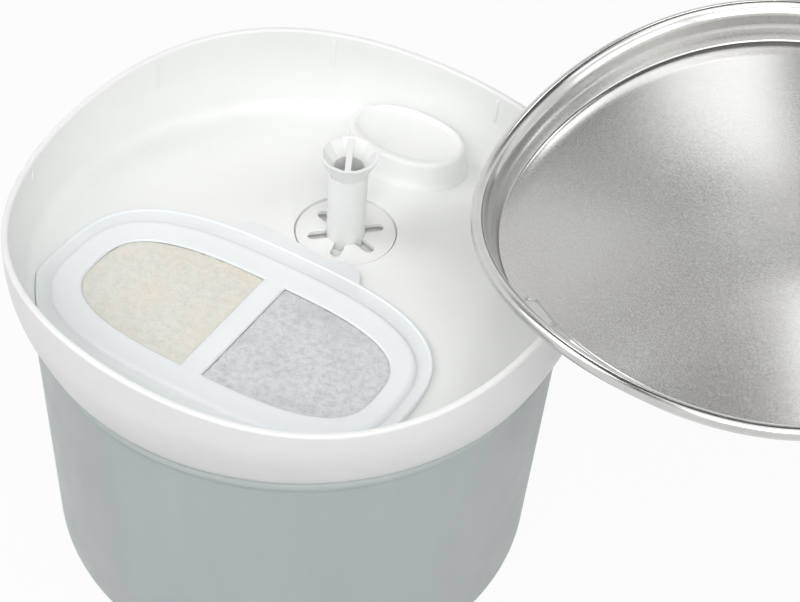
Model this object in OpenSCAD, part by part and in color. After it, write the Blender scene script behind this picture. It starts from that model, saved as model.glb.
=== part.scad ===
// Pet water fountain: frosted tank, white wavy-rimmed basin, steel drinking dish,
// riser tube, drain grating, filter cassette and a submersible pump.
// The dish is modelled lifted off its seat and held out to one side.
// Origin: middle of the tank, on the surface it stands on. Front is -Y, +Z is up.

/* [Tank] */
// Outer radius of the tank at its lip
tank_r = 98; // [90:1:110]
// Height of the tank's lip above the surface
tank_h = 126; // [115:1:150]
// Wall thickness of the tank
tank_wall = 2.4; // [2:0.1:3.5]
// Draft of the tank's side in degrees
tank_draft = 2.4; // [0.5:0.1:4]
// Radius of the tank's rounded foot
tank_corner_r = 20; // [12:1:26]
// Height of the tank's thickened lip
lip_h = 4; // [3:0.5:8]
// How far the lip stands out from the side
lip_out = 0.7; // [0.4:0.1:1.5]

/* [Basin] */
// How far the basin's side flares out from the tank's lip to its rim
flare = 7.2; // [4:0.2:10]
// Height over which the side flares
flare_h = 26; // [20:1:30]
// Wall thickness of the basin
basin_wall = 2.6; // [2:0.1:3.5]
// Height of the basin's floor above the tank's lip
floor_h = 1.5; // [1.5:0.1:3]
// Thickness of the basin's floor
floor_t = 2.6; // [2:0.1:3.5]
// Fillet between the basin's floor and its wall
basin_fillet = 9; // [6:0.5:11]
// Depth of the spigot that centres the basin in the tank
spigot_h = 9; // [6:0.5:14]
// Number of small ribs that centre the dish inside the rim
rib_count = 9; // [6:1:12]
// How far those ribs stand in from the wall
rib_out = 0.8; // [0.5:0.1:1]

/* [Wavy rim] */
// Mean height of the rim above the tank's lip
rim_h = 35.7; // [32:0.1:42]
// Height that the rim's slope adds on its high side
rim_tilt = 3.9; // [0:0.1:5]
// Height of the rim's two-lobed wave
rim_wave2 = 1.45; // [0:0.05:2]
// Height of the rim's three-lobed wave
rim_wave3 = 5; // [0:0.1:6]
// Facets round the wavy shapes
wave_facets = 72; // [48:6:72]

/* [Dish] */
// Thickness of the steel sheet
sheet_t = 0.6; // [0.5:0.1:1]
// Radius of the dish's rolled bead
bead_r = 2.3; // [2:0.1:3]
// Depth of the dish below its bead
dish_depth = 13.5; // [10:0.5:16]
// Outer radius of the dish's wall at its floor
dish_floor_r = 99.6; // [96:0.2:100]
// Radius of the hole that the riser tube's mouth comes up through
mouth_hole_r = 12.6; // [12:0.1:15]
// Radius of the middle line of the overflow slot
overflow_r = 94.7; // [88:0.1:95]
// Width of the overflow slot
overflow_w = 4.9; // [3:0.1:5.2]
// Angle that the overflow slot spans
overflow_span = 51; // [20:1:60]
// Sideways shift of the lifted dish
dish_shift_x = 157.6; // [0:0.1:240]
// Backward shift of the lifted dish
dish_shift_y = 64.7; // [0:0.1:120]
// Height that the dish is lifted from its seat
dish_lift = 36.8; // [30:0.1:120]
// Tip of the lifted dish in degrees
dish_tip = 8.7; // [0:0.1:12]
// Turn of the lifted dish in degrees
dish_turn = -12; // [-30:1:30]

/* [Riser tube and drain] */
// Distance of the riser tube behind the tank's axis
tube_y = 31.7; // [28:0.1:36]
// Outer radius of the riser tube
tube_r = 7; // [6.5:0.1:7.5]
// Bore radius of the riser tube
tube_bore_r = 5.5; // [5:0.1:5.8]
// Height of the tube's mouth above the basin's floor
mouth_h = 37.5; // [32:0.5:44]
// Outer radius of the flared mouth
mouth_r = 11.2; // [10:0.1:11.6]
// Height of the flare
mouth_flare_h = 8.5; // [7:0.5:12]
// Thickness of the web across the mouth
web_t = 2.2; // [1.6:0.1:3]
// Radius of the grating disc
disc_r = 18.8; // [17:0.1:20]
// Thickness of the grating disc
disc_t = 1.6; // [1.2:0.1:2.4]
// Number of slots in the grating disc
slot_count = 6; // [4:1:8]
// Width of one slot
slot_w = 4.2; // [3:0.1:5]
// Radius at which the slots end
slot_end_r = 14.6; // [13:0.1:15.4]

/* [Oval boss] */
// Half length of the boss
boss_a = 24; // [20:0.5:26]
// Half width of the boss
boss_b = 15.5; // [12:0.5:17]
// Sideways place of the boss's middle
boss_x = -4; // [-8:0.5:4]
// Distance of the boss behind the tank's axis
boss_y = 82; // [78:0.5:83]
// Height of the boss above the floor at its front
boss_h = 10.8; // [7:0.2:12]
// Slope of the boss's top in degrees
boss_slope = 0.6; // [0.2:0.2:4]
// Depth of the dished top
boss_dish = 1.5; // [1:0.1:3]

/* [Filter cassette] */
// Half length of the cassette
cas_a = 74.4; // [72:0.2:76]
// Half width of the cassette
cas_b = 45.2; // [42:0.2:46]
// Squareness of the oval
cas_n = 2.9; // [2.5:0.1:3.1]
// Sideways place of the cassette's bar and windows
cas_x = -4.1; // [-6:0.1:0]
// How far the cassette's rim sits to the left of its bar
rim_shift = 2; // [0:0.1:3]
// Front to back place of the cassette's middle
cas_y = -36.4; // [-38:0.1:-36]
// Height of the lid's raised face above the floor
lid_face_h = 3.6; // [3:0.1:5]
// Half length of the two windows together
win_a = 60.4; // [56:0.2:62]
// Half width of the windows
win_b = 26.7; // [24:0.1:28]
// Squareness of the windows
win_n = 3; // [2.5:0.1:3.2]
// Width of the bar between the windows
bar_w = 7.6; // [6:0.2:10]
// Width of the pull tab
tab_w = 59; // [40:1:64]
// How far the pull tab stands out
tab_out = 5.4; // [4:0.1:5.6]
// Depth of the cassette's base below the floor
cas_depth = 11; // [9:0.5:14]

/* [Pump] */
// Width of the pump's body
pump_w = 42; // [40:1:46]
// How far in from the tank's lip the pump's motor body ends
pump_back_in = 20.3; // [20:0.1:24]
// Height of the pump's body
pump_h = 36; // [36:1:40]
// Wall thickness of the pump's body
pump_wall = 2; // [1.8:0.1:2.2]
// Radius of the impeller chamber
chamber_r = 12.6; // [12.4:0.1:13]
// Depth of the impeller chamber
chamber_d = 12; // [12:0.5:13]
// Radius of the rotor magnet
magnet_r = 7.8; // [7:0.1:7.9]
// Length of the rotor magnet
magnet_l = 20; // [18:0.5:20]
// Radius of the rotor's shaft
shaft_r = 1.2; // [1:0.1:1.4]
// Number of impeller vanes
vane_count = 6; // [4:1:8]
// Radius of one suction cup
cup_r = 7.5; // [6:0.5:8]

/* [Clearances] */
// Gap between a lifting piece and its seat
seat_gap = 0.3; // [0.2:0.05:0.4]
// Gap between a sliding piece and its guide
slide_gap = 0.3; // [0.2:0.05:0.4]
// Gap of a push fit
push_gap = 0.1; // [0.05:0.01:0.15]
// Running clearance of the rotor on its shaft
run_gap = 0.05; // [0.02:0.01:0.08]

/* [Hidden] */
$fn = 96;
eps = 0.01;

// Directions of the rim's waves, in degrees from +X
rim_tilt_at = 22;
rim_wave2_at = 44;
rim_wave3_at = 18;
// Direction of the axis that the lifted dish is tipped about, from +Y
tip_at = 28;

// Tank
tank_floor_z = tank_wall;
side_r = tank_r - lip_out;
side_slope = tan(tank_draft);
tank_in_r = side_r - tank_wall;
notch_w = 8;
notch_h = 7;

// Basin, from the floor up
floor_z = tank_h + floor_h;
rim_r = tank_r + flare;
rim_in_r = rim_r - basin_wall;
rim_top = tank_h + rim_h + rim_tilt + rim_wave2 + rim_wave3 + 2;
fillet_r = tank_r + flare * sin(90 * (floor_h + basin_fillet) / flare_h) - basin_wall;
flat_r = fillet_r - basin_fillet;
spigot_r = tank_in_r - slide_gap;
spigot_in_r = spigot_r - basin_wall;
rib_w = 1.2;
rib_at = 36;

// Dish
dish_flat_r = 34;

// How far back the boss's dished top is shifted
boss_lip_back = 0.7;

// Drain seat
disc_top_z = floor_z - 0.6;
seat_r = disc_r + 0.7;
seat_z = disc_top_z - disc_t - seat_gap;
drain_r = disc_r - 2;
shelf_drop = 2.6;
shelf_t = 1.6;
drain_hole_r = 2.3;
drain_hole_at = 12.4;
collar_h = 8;
slot_at = 45;

// Riser tube
mouth_z = floor_z + mouth_h;
flare_z = mouth_z - mouth_flare_h;
mouth_facets = 12;
mouth_turn = 17;
tube_top_r = tube_r + 0.3;
funnel_z = mouth_z - 5.9;
web_at = 118;
notch_at = [4, 246];

// Cassette
flange_z = floor_z + 0.2;
flange_t = 1.6;
face_z = floor_z + lid_face_h;
face_in_x = 5.2;
face_in_y = 7.8;
face_shift = 0.8;
well_in = 3;
well_wall = 1.8;
cas_wall = 1.6;
cas_rim_gap = 2.8;
cas_clip_r = tank_r - cas_rim_gap;
well_clip_r = spigot_in_r - 0.6;
well_z = floor_z - cas_depth;
base_z = well_z + cas_wall + seat_gap;
pad_z = base_z + cas_wall + seat_gap;
pad_gap = 0.4;

// Pump: rotor axis along Y, outlet straight up under the riser tube
cup_h = 5;
cup_in = 9;
cup_front = 1;
cup_back = 14;
pump_z = tank_floor_z + cup_h + seat_gap;
axis_z = pump_z + pump_h * 0.6;
chamber_wall = 2;
chamber_y = tube_y - chamber_d / 2;
motor_y = chamber_y + chamber_d + 2;
well_r = magnet_r + 0.7;
rotor_well_wall = 1.2;
rotor_well_l = magnet_l + 4;
back_cap_t = 3;
back_y = tank_r - pump_back_in;
pump_l = back_y - motor_y;
cover_t = 2.4;
bush_r = 3;
bush_l = 3;
pump_edge_r = 4;
vane_hub_r = 3.4;
core_y = motor_y + 6;
core_l = 14;
core_z = pump_z + pump_wall + 1.2;
core_gap = 20;
yoke_h = 4.4;
coil_t = 2.4;
spout_r = 5.6;
spout_bore_r = 3.8;
spout_z = axis_z + chamber_r + 12;
adaptor_z = spout_z + 0.6;
tube_end_z = adaptor_z + 2.4;
slider_travel = 6;

// ---- shared shapes ----

// Height of the wavy rim's deviation from its mean, at angle a
function wave(a) = rim_tilt * cos(a - rim_tilt_at) + rim_wave2 * cos(2 * (a - rim_wave2_at))
    + rim_wave3 * cos(3 * (a - rim_wave3_at));

// Outer radius of the basin at height h above the tank's lip
function side(h) = tank_r + flare * sin(90 * min(h, flare_h) / flare_h);

// Points of an arc in a profile
function arc(x, z, r, a0, a1, n = 8) =
    [for (i = [0:n]) let (a = a0 + (a1 - a0) * i / n) [x + r * cos(a), z + r * sin(a)]];

// Points of a squarish oval
function oval(a, b, n = cas_n, steps = 72) =
    [for (i = [0:steps - 1]) let (t = 360 * i / steps)
        [a * sign(cos(t)) * pow(abs(cos(t)), 2 / n), b * sign(sin(t)) * pow(abs(sin(t)), 2 / n)]];

// Closed ring swept through a list of closed sections, each a list of 3D points
module ring_loft(sections) {
    n = len(sections);
    m = len(sections[0]);
    points = [for (s = sections) each s];
    faces = [for (i = [0:n - 1], j = [0:m - 1])
        let (k = (i + 1) % n, l = (j + 1) % m)
        each [[i * m + j, i * m + l, k * m + l], [i * m + j, k * m + l, k * m + j]]];
    polyhedron(points, faces, convexity = 10);
}

// Place a profile point [r, z] at angle a
function at(a, p) = [p[0] * cos(a), p[0] * sin(a), p[1]];

// Everything above the wavy rim, with a small chamfer on both edges
module above_rim() {
    c = 0.7;
    reach = 4;
    under = [[rim_in_r - reach, -c - reach], [rim_in_r + c, 0], [rim_r - c, 0], [rim_r + reach, -c - reach]];
    over = [[rim_r + reach, rim_top + 4], [rim_in_r - reach, rim_top + 4]];
    ring_loft([for (i = [0:wave_facets - 1]) let (a = 360 * i / wave_facets, z = tank_h + rim_h + wave(a))
        concat([for (p = under) at(a, [p[0], z + p[1]])], [for (p = over) at(a, p)])]);
}

// ---- tank ----

// Profile of the tank, drawn in by w for its inside
module tank_profile(w, top) {
    corner_r = tank_corner_r - w;
    corner_x = side_r - w / cos(tank_draft) - (tank_h - tank_corner_r) * side_slope - corner_r;
    polygon(concat([[0, top], [0, w]],
        arc(corner_x, tank_corner_r, corner_r, -90, -tank_draft, 10),
        [[side_r - w - (tank_h - top) * side_slope, top]]));
}

module tank() color("LightSteelBlue", 0.8) difference() {
    union() {
        rotate_extrude() tank_profile(0, tank_h);
        rotate_extrude() polygon([[tank_in_r - 3, tank_h - lip_h - 1], [tank_r - 1.4, tank_h - lip_h - 1],
            [tank_r, tank_h - lip_h], [tank_r, tank_h - 0.6], [tank_r - 0.6, tank_h],
            [tank_in_r - 3, tank_h]]);
    }
    rotate_extrude() tank_profile(tank_wall, tank_h + 1);
    translate([-notch_w / 2, tank_in_r - 6, tank_h - notch_h]) cube([notch_w, 14, notch_h + 1]);
}

// ---- basin ----

module basin_profile() {
    steps = 7;
    polygon(concat(
        [[0, tank_h + floor_h - floor_t], [spigot_in_r, tank_h + floor_h - floor_t],
         [spigot_in_r, tank_h - spigot_h], [spigot_r - spigot_h * side_slope - 0.8, tank_h - spigot_h],
         [spigot_r - spigot_h * side_slope, tank_h - spigot_h + 1.5], [spigot_r, tank_h + seat_gap],
         [tank_r - 1, tank_h + seat_gap]],
        [for (i = [0:steps]) let (h = 1.2 + (flare_h - 1.2) * i / steps) [side(h), tank_h + h]],
        [[rim_r, rim_top], [rim_in_r, rim_top]],
        [for (i = [steps:-1:1])
            let (h = floor_h + basin_fillet + (flare_h - floor_h - basin_fillet) * i / steps)
            [side(h) - basin_wall, tank_h + h]],
        arc(flat_r, floor_z + basin_fillet, basin_fillet, 0, -90, 8),
        [[0, floor_z]]));
}

module boss_oval(grow, h) {
    linear_extrude(height = h, scale = 1) polygon(oval(boss_a + grow, boss_b + grow, 2.2, 60));
}

// Oval boss at the back, with a rounded edge and a sloping top whose lip is widest in front
module boss() {
    h = boss_h + 2 * boss_b * tan(boss_slope);
    difference() {
        intersection() {
            translate([boss_x, boss_y, floor_z - 1]) hull() {
                boss_oval(2.5, 1.2);
                translate([0, 0, 3]) boss_oval(0.8, 1);
                boss_oval(0, h - 0.6);
                boss_oval(-0.35, h);
                boss_oval(-1.2, h + 0.7);
            }
            translate([0, 0, tank_h]) cylinder(r = rim_in_r - 1, h = 30);
        }
        boss_top() translate([-60, -60, 0]) cube([120, 120, 40]);
        boss_top() hull() {
            translate([0, boss_lip_back, -boss_dish]) boss_oval(-4.4, eps);
            translate([0, boss_lip_back, -boss_dish / 2]) boss_oval(-3.1, eps);
            translate([0, boss_lip_back, 0]) boss_oval(-2.6, 1);
        }
    }
}

// Frame of the boss's sloping top
module boss_top() {
    translate([boss_x, boss_y - boss_b, floor_z + boss_h]) rotate([boss_slope, 0, 0])
        translate([0, boss_b, 0]) children();
}

// Outline of the cassette, drawn in by an amount and kept inside the bowl
module cas_outline(inset, clip_r, tab = 0) {
    intersection() {
        union() {
            translate([cas_x - rim_shift, cas_y]) polygon(oval(cas_a - inset, cas_b - inset));
            if (tab > 0) tab_outline(tab);
        }
        circle(r = clip_r);
    }
}

// Outline of the lid's raised face, drawn in more at the front and back than at the ends
module face_outline() {
    intersection() {
        translate([cas_x - rim_shift + face_shift, cas_y])
            polygon(oval(cas_a - face_in_x, cas_b - face_in_y));
        circle(r = cas_clip_r - face_in_x);
    }
}

module tab_outline(out) {
    r = 5;
    x = tab_w / 2 - r;
    difference() {
        translate([cas_x - rim_shift - 1, cas_y + cas_b]) hull() for (s = [-1, 1]) {
            translate([s * (x - 3), out - r]) circle(r = r, $fn = 24);
            translate([s * x, -r - 4]) circle(r = r, $fn = 24);
        }
        // Keeps the grating free
        translate([0, tube_y]) circle(r = seat_r + slide_gap);
    }
}

module basin() color("White") difference() {
    union() {
        rotate_extrude() basin_profile();
        boss();
        // Wall and ledge of the cassette well
        translate([0, 0, well_z]) linear_extrude(height = floor_z - well_z - eps)
            cas_outline(well_in - well_wall, well_clip_r + well_wall);
        // Cup under the grating, with a collar that guides the riser tube
        translate([0, tube_y, seat_z - shelf_drop - shelf_t])
            cylinder(r = seat_r + 2, h = shelf_drop + shelf_t);
        translate([0, tube_y, seat_z - collar_h]) cylinder(r = tube_r + slide_gap + 1.4, h = collar_h);
        centring_ribs();
    }
    // Seat of the grating, the cup's hollow and its drain holes between the grating's slots
    translate([0, tube_y, seat_z]) cylinder(r = seat_r, h = 10);
    translate([0, tube_y, seat_z - shelf_drop]) cylinder(r = drain_r, h = shelf_drop + 1);
    translate([0, tube_y, seat_z - collar_h - 1]) cylinder(r = tube_r + slide_gap, h = collar_h + 4);
    for (i = [0:slot_count - 1]) translate([0, tube_y, seat_z - collar_h])
        rotate([0, 0, slot_at + 360 * (i + 0.5) / slot_count])
            translate([drain_hole_at, 0, 0]) cylinder(r = drain_hole_r, h = collar_h, $fn = 24);
    // Well for the cassette, with a ledge all round its foot
    translate([0, 0, well_z + cas_wall]) linear_extrude(height = 30) cas_outline(well_in, well_clip_r);
    translate([0, 0, well_z - 1]) linear_extrude(height = 30) cas_outline(well_in + 5, well_clip_r - 5);
    // Seat of the lid's flange, cut into the floor's fillet
    translate([0, 0, flange_z - 0.2]) linear_extrude(height = 8)
        cas_outline(-slide_gap, cas_clip_r + slide_gap, tab_out + slide_gap);
    above_rim();
    translate([-notch_w / 2, spigot_in_r - 4, tank_h - spigot_h - 1]) cube([notch_w, 8, spigot_h + 0.5]);
}

module centring_ribs() {
    for (i = [0:rib_count - 1]) let (a = rib_at + 360 * i / rib_count) rotate([0, 0, a])
        translate([rim_in_r - rib_out, -rib_w / 2, tank_h + flare_h - 6])
            cube([rib_out + 1, rib_w, rim_h - flare_h + wave(a) + 3]);
}

// ---- steel dish ----

// Height of the dish's floor edge follows most of the rim's wave
function dish_z(a, share) = rim_h + bead_r * 2 - dish_depth + share * wave(a);

// Section of the dish at angle a, from its flat middle out over the bead and back below
function dish_section(a) =
    let (
        top = rim_h + bead_r + wave(a),
        f = dish_floor_r,
        rings = [[dish_flat_r, 0], [55, 0.1], [72, 0.3], [86, 0.56], [f - 2.5, 0.76]],
        wall_z = dish_z(a, 0.8),
        step_z = wall_z + 0.45 * (top - wall_z),
        inner = concat(
            [for (q = rings) [q[0], dish_z(a, q[1])]],
            [[f - 1.7, wall_z + 0.4], [f - 1.1, wall_z + 1.3], [f, step_z], [f + 0.35, step_z + 0.3],
             [f + 1.2, top - 1.6]],
            arc(rim_r - 0.8, top, bead_r, 170, -70, 10)),
        outer = concat([[rim_in_r + 0.4, top - bead_r + 0.25], [f + 1.9, top - 1.9]],
            [[f + 1.1, step_z + 0.2], [f + 0.7, step_z - 0.3], [f - 0.4, wall_z + 1], [f - 1.3, wall_z - 0.3]],
            [for (i = [len(rings) - 1:-1:0]) [rings[i][0], dish_z(a, rings[i][1]) - sheet_t]])
    )
    [for (p = concat(inner, outer)) at(a, p)];

// Closed sheet: open sections side by side, closed by a fan at the middle of each face
module dish_shell() {
    n = wave_facets;
    sections = [for (i = [0:n - 1]) dish_section(360 * i / n)];
    m = len(sections[0]);
    points = concat([for (s = sections) each s],
        [[0, 0, dish_z(0, 0)], [0, 0, dish_z(0, 0) - sheet_t]]);
    skin = [for (i = [0:n - 1], j = [0:m - 2]) let (k = (i + 1) % n)
        each [[k * m + j + 1, i * m + j + 1, i * m + j], [k * m + j, k * m + j + 1, i * m + j]]];
    fans = [for (i = [0:n - 1]) let (k = (i + 1) % n)
        each [[k * m, i * m, n * m], [i * m + m - 1, k * m + m - 1, n * m + 1]]];
    polyhedron(points, concat(skin, fans), convexity = 10);
}

module seated_dish() difference() {
    dish_shell();
    translate([0, tube_y, dish_z(0, 0) - 4]) cylinder(r = mouth_hole_r, h = 10);
    rotate([0, 0, -90 - overflow_span / 2]) translate([overflow_r, 0, 10])
        cylinder(r = overflow_w / 2, h = 24);
    rotate([0, 0, -90 + overflow_span / 2]) translate([overflow_r, 0, 10])
        cylinder(r = overflow_w / 2, h = 24);
    rotate([0, 0, -90 - overflow_span / 2]) translate([0, 0, 10])
        rotate_extrude(angle = overflow_span) translate([overflow_r - overflow_w / 2, 0])
            square([overflow_w, 24]);
}

module steel_tray() color("Silver") translate([dish_shift_x, dish_shift_y, tank_h + dish_lift])
    rotate([0, 0, tip_at]) rotate([0, -dish_tip, 0]) rotate([0, 0, dish_turn - tip_at]) seated_dish();

// ---- riser tube and drain grating ----

module riser_tube() color("White") translate([0, tube_y, 0]) difference() {
    union() {
        translate([0, 0, tube_end_z]) cylinder(r1 = tube_r, r2 = tube_top_r, h = flare_z + 1 - tube_end_z);
        translate([0, 0, flare_z]) rotate([0, 0, mouth_turn])
            cylinder(r1 = tube_top_r + 0.1, r2 = mouth_r, h = mouth_flare_h, $fn = mouth_facets);
    }
    difference() {
        union() {
            translate([0, 0, tube_end_z - 1]) cylinder(r = tube_bore_r, h = funnel_z - tube_end_z + 1.5);
            translate([0, 0, funnel_z]) rotate([0, 0, mouth_turn]) cylinder(r1 = tube_bore_r + 0.15,
                r2 = mouth_r - 1.3, h = mouth_z - funnel_z + eps, $fn = mouth_facets);
        }
        rotate([0, 0, web_at]) translate([-mouth_r, -web_t / 2, funnel_z - 1])
            cube([2 * mouth_r, web_t, mouth_z - funnel_z + 0.7]);
    }
    for (a = notch_at) rotate([0, 0, a]) translate([tube_top_r - 0.5, -0.6, flare_z - 0.4]) cube([3, 1.2, 3.2]);
}

module grating_disc() color("WhiteSmoke") translate([0, tube_y, disc_top_z - disc_t]) difference() {
    cylinder(r = disc_r, h = disc_t);
    translate([0, 0, -1]) cylinder(r = tube_r + slide_gap, h = disc_t + 2);
    for (i = [0:slot_count - 1]) rotate([0, 0, slot_at + 360 * i / slot_count]) {
        translate([tube_r - 1, -slot_w / 2, -1])
            cube([slot_end_r - slot_w / 2 - tube_r + 1, slot_w, disc_t + 2]);
        translate([slot_end_r - slot_w / 2, 0, -1]) cylinder(r = slot_w / 2, h = disc_t + 2);
    }
}

// ---- filter cassette ----

module bar_strip(w) translate([cas_x - w / 2, cas_y - cas_b]) square([w, 2 * cas_b]);

module windows(grow = 0) {
    difference() {
        translate([cas_x, cas_y]) polygon(oval(win_a + grow, win_b + grow, win_n));
        bar_strip(bar_w - 2 * grow);
    }
}

module cassette_lid() color("AliceBlue") difference() {
    union() {
        translate([0, 0, flange_z]) linear_extrude(height = flange_t) cas_outline(0, cas_clip_r, tab_out);
        translate([0, 0, flange_z]) linear_extrude(height = face_z - flange_z)
            face_outline();
        // Raised line along the outer edge
        translate([0, 0, flange_z]) linear_extrude(height = flange_t + 0.5) difference() {
            cas_outline(0, cas_clip_r);
            cas_outline(1.2, cas_clip_r - 1.2);
        }
    }
    translate([0, 0, flange_z - 1]) linear_extrude(height = 10) windows();
}

module cassette_base() color("AliceBlue") difference() {
    translate([0, 0, base_z]) linear_extrude(height = flange_z - seat_gap - base_z)
        cas_outline(well_in + slide_gap, well_clip_r - slide_gap);
    translate([0, 0, base_z + cas_wall]) linear_extrude(height = 30) difference() {
        cas_outline(well_in + slide_gap + cas_wall, well_clip_r - slide_gap - cas_wall);
        bar_strip(cas_wall);
    }
    base_slots();
}

// Rows of drain slots in the base's floor
module base_slots() {
    pitch = 9;
    for (i = [-6:6]) let (x = i * pitch, reach = cas_b * sqrt(1 - pow(abs(x) / cas_a, 2)) - 13)
        if (abs(x) > bar_w / 2) translate([cas_x + x - 2, cas_y - reach, base_z - 1])
            cube([4, 2 * reach, cas_wall + 2]);
}

// One filter pad: side -1 is the left half, 1 the right
module pad(side) {
    body_top = flange_z - seat_gap - 0.2;
    union() {
        translate([0, 0, pad_z]) linear_extrude(height = body_top - pad_z) pad_half(side)
            cas_outline(well_in + slide_gap + cas_wall + pad_gap, well_clip_r - slide_gap - cas_wall - pad_gap);
        translate([0, 0, pad_z]) linear_extrude(height = face_z - 0.8 - pad_z) pad_half(side) windows(-pad_gap);
    }
}

module pad_half(side) {
    intersection() {
        children();
        translate([cas_x + (side > 0 ? cas_wall / 2 + pad_gap : -200 - cas_wall / 2 - pad_gap), -200])
            square([200, 400]);
    }
}

module fibre_pad() color("Khaki") pad(-1);

module carbon_pad() color("SlateGray") pad(1);

// ---- pump ----

// Cylinder along +Y starting at y0 on the rotor's axis
module along_y(r, y0, l, x = 0, z = axis_z) {
    translate([x, y0, z]) rotate([-90, 0, 0]) cylinder(r = r, h = l);
}

// Box with rounded edges along +Y, starting at y0 and standing on z0
module box_along_y(w, h, l, y0, z0, r) {
    translate([0, y0 + l, z0]) rotate([90, 0, 0]) linear_extrude(height = l) union() {
        translate([-w / 2 + r, 0]) square([w - 2 * r, h]);
        translate([-w / 2, r]) square([w, h - 2 * r]);
        for (x = [-w / 2 + r, w / 2 - r], y = [r, h - r]) translate([x, y]) circle(r = r);
    }
}

module pump_housing() color("#2b2f33") difference() {
    union() {
        box_along_y(pump_w, pump_h, pump_l + 2, motor_y - 2, pump_z, pump_edge_r);
        along_y(chamber_r + chamber_wall, chamber_y, chamber_d + 3);
        translate([0, tube_y, axis_z]) cylinder(r = spout_r, h = spout_z - axis_z);
    }
    // Impeller chamber, outlet and rotor well
    along_y(chamber_r, chamber_y - 1, chamber_d + 1);
    translate([0, tube_y, axis_z]) cylinder(r = spout_bore_r, h = spout_z - axis_z + 1);
    along_y(well_r, chamber_y + chamber_d - 1, rotor_well_l + 1);
    along_y(bush_r, chamber_y + chamber_d + rotor_well_l - 1, bush_l + 1);
    // Motor cavity round the rotor well, open at the back
    difference() {
        box_along_y(pump_w - 2 * pump_wall, pump_h - 2 * pump_wall, pump_l + 1, motor_y,
            pump_z + pump_wall, pump_edge_r - pump_wall);
        along_y(well_r + rotor_well_wall, motor_y - 1, rotor_well_l + 1);
        along_y(bush_r + rotor_well_wall, motor_y - 1, rotor_well_l + bush_l + 1);
    }
}

module pump_back_cap() color("#24272a") {
    inset = pump_wall + push_gap;
    box_along_y(pump_w, pump_h, back_cap_t, back_y + push_gap, pump_z, pump_edge_r);
    box_along_y(pump_w - 2 * inset, pump_h - 2 * inset, 3, back_y - 2, pump_z + inset, pump_edge_r - inset);
}

// Cover with the intake grille, a skirt round the chamber and rails for the slider
module pump_front_cover() color("#2b2f33") difference() {
    union() {
        along_y(chamber_r + chamber_wall + 1.8, chamber_y - cover_t - seat_gap, cover_t);
        difference() {
            along_y(chamber_r + chamber_wall + 1.8, chamber_y - cover_t - seat_gap, cover_t + 5);
            along_y(chamber_r + chamber_wall + slide_gap, chamber_y - seat_gap, 6);
        }
        along_y(bush_r + 1.5, chamber_y - cover_t - seat_gap, cover_t + 2.5);
        for (s = [-1, 1]) slider_rail(s);
    }
    along_y(bush_r, chamber_y - cover_t - seat_gap + 1, 6);
    // Notch in the skirt for the outlet
    translate([-spout_r - slide_gap, chamber_y - seat_gap, axis_z])
        cube([2 * (spout_r + slide_gap), 8, 2 * chamber_r]);
    for (i = [-3:3], s = [-1, 1]) if (i != 0) translate([i * 2.9 - 0.7, chamber_y - cover_t - 1, axis_z
        + (s > 0 ? 5.4 : -10.6)]) cube([1.4, cover_t + 2, 5.2 - abs(i) * 0.5]);
}

module slider_rail(s) {
    y = chamber_y - cover_t - seat_gap;
    translate([-11, y - 2.4, axis_z + (s > 0 ? 11 : 3.4)]) cube([22, 2.5, 1.2]);
    translate([-11, y - 2.4, axis_z + (s > 0 ? 10.2 : 3.4)]) cube([22, 0.8, 2]);
}

module flow_slider() color("#7c8890") {
    y = chamber_y - cover_t - seat_gap;
    translate([-11, y - 1.4 + 0.1, axis_z + 4.6 + slide_gap]) cube([12, 1, 6.4 - 2 * slide_gap]);
    translate([-6.5, y - 3.4, axis_z + 6.2]) cube([3, 2.4, 3]);
}

module rotor_magnet() color("#3a3a3e") difference() {
    along_y(magnet_r, chamber_y + chamber_d + 1.6, magnet_l);
    along_y(shaft_r + run_gap, chamber_y + chamber_d, magnet_l + 4);
}

// Hub, back disc and straight vanes
module impeller() color("WhiteSmoke") difference() {
    disc_y = chamber_y + chamber_d - 3.4;
    vane_y = chamber_y + 5;
    union() {
        along_y(chamber_r - 1.6, disc_y, 1.4);
        along_y(vane_hub_r, vane_y - 0.8, chamber_d - 2.6);
        for (i = [0:vane_count - 1]) translate([0, 0, axis_z]) rotate([0, 360 * i / vane_count, 0])
            translate([vane_hub_r - 0.8, vane_y, -0.7])
                cube([chamber_r - 2.4 - vane_hub_r + 0.8, disc_y - vane_y + 0.6, 1.4]);
    }
    along_y(shaft_r + run_gap, chamber_y, chamber_d + 4);
}

module rotor_shaft() color("Gainsboro")
    along_y(shaft_r, chamber_y - cover_t + 1.2, chamber_d + rotor_well_l + bush_l + cover_t - 2.2);

module bush(y0) difference() {
    along_y(bush_r - 0.02, y0, bush_l - 0.4);
    along_y(shaft_r + run_gap, y0 - 1, bush_l + 2);
}

module front_bush() color("Ivory") bush(chamber_y - cover_t - seat_gap + 1.02);

module rear_bush() color("Ivory") bush(chamber_y + chamber_d + rotor_well_l + 0.2);

// Laminated core: two legs that hug the rotor well, joined by a yoke below
module stator_core() color("#8a8f94") {
    inner_r = well_r + rotor_well_wall + 0.3;
    half_w = pump_w / 2 - pump_wall - 1;
    difference() {
        translate([-half_w, core_y, core_z]) cube([2 * half_w, core_l, axis_z + 6 - core_z]);
        along_y(inner_r, core_y - 1, core_l + 2);
        translate([-2.5, core_y - 1, axis_z]) cube([5, core_l + 2, 20]);
        translate([-core_gap / 2, core_y - 1, core_z + yoke_h])
            cube([core_gap, core_l + 2, axis_z - core_z - yoke_h]);
    }
}

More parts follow.
